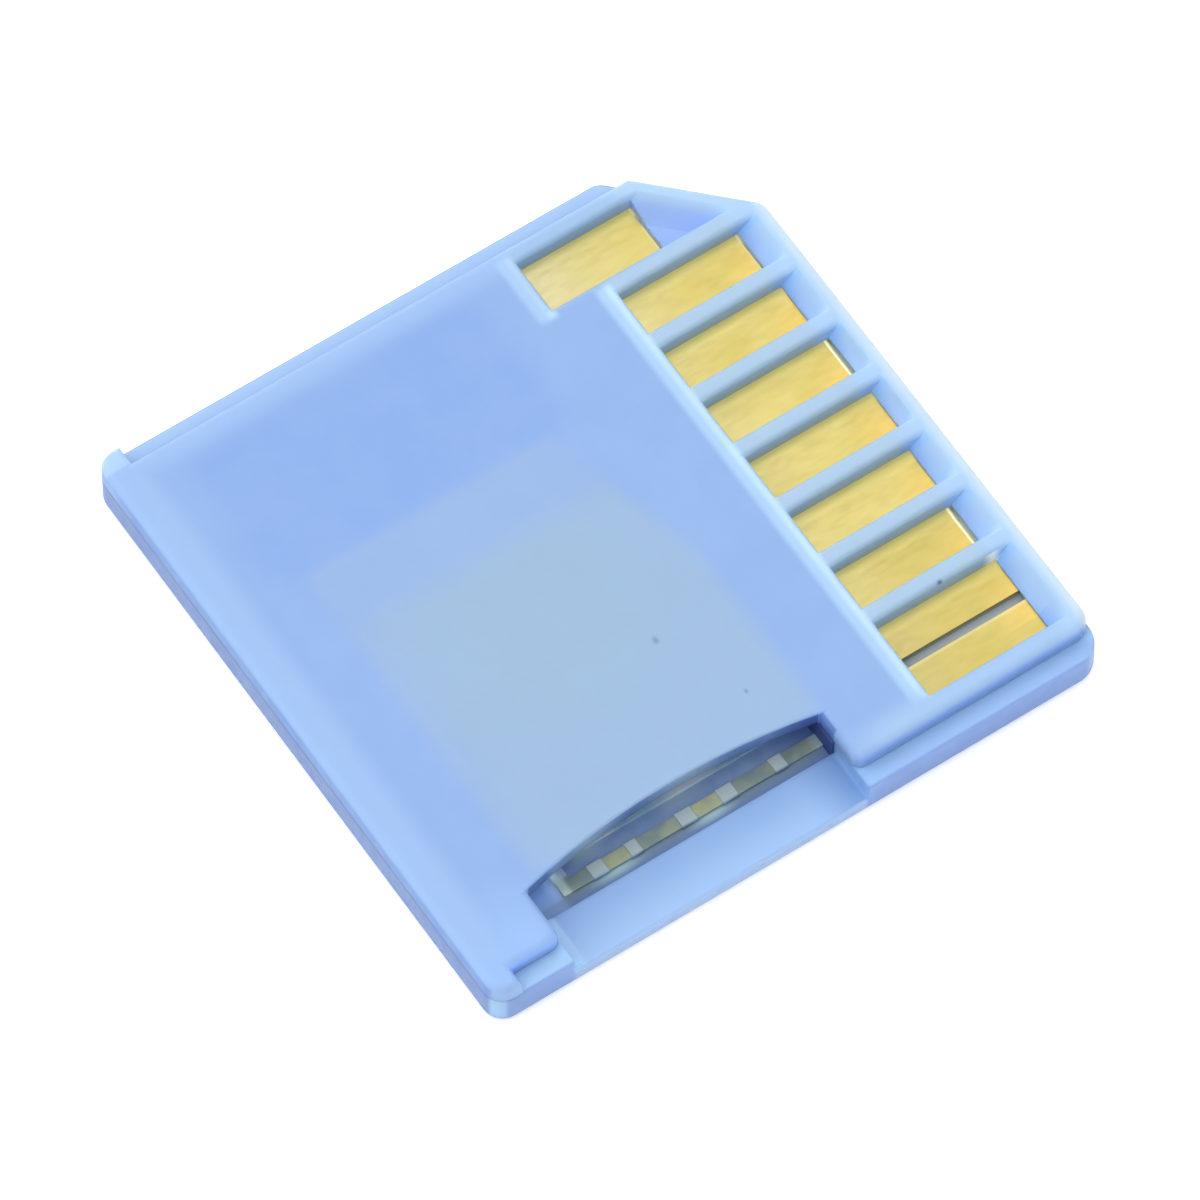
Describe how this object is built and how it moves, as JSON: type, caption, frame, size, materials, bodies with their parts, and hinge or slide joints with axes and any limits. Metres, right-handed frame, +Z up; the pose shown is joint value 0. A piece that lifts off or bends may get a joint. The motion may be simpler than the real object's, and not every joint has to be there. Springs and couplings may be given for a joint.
{
  "type": "memory card adapter",
  "caption": "Flush adapter that lets a small memory card fill a full-size card slot, with side rails, recessed contact pads and a card slot in its side edge.",
  "frame": {"origin": "middle of the adapter's outline, on the flat label-side face that it rests on", "axes": "+X across the width towards the card slot's mouth, +Y towards the leading edge with the contacts, +Z up out of the contact side"},
  "size_m": [0.024, 0.024, 0.0021],
  "materials": {
    "blue_plastic": "fine satin moulded plastic, slightly translucent",
    "insert_plastic": "matte",
    "gold_contact": "satin gold plating on stamped strip"
  },
  "bodies": {
    "root": {"label_side_shell": "blue_plastic", "contact_side_shell": "blue_plastic", "contact_insert": "insert_plastic", "slot_tray": "insert_plastic", "contact_lead_1": "gold_contact", "contact_lead_2": "gold_contact", "contact_lead_3": "gold_contact", "contact_lead_4": "gold_contact", "contact_lead_5": "gold_contact", "contact_lead_6": "gold_contact", "contact_lead_7": "gold_contact", "contact_lead_8": "gold_contact", "contact_lead_9": "gold_contact"}
  },
  "joints": []
}
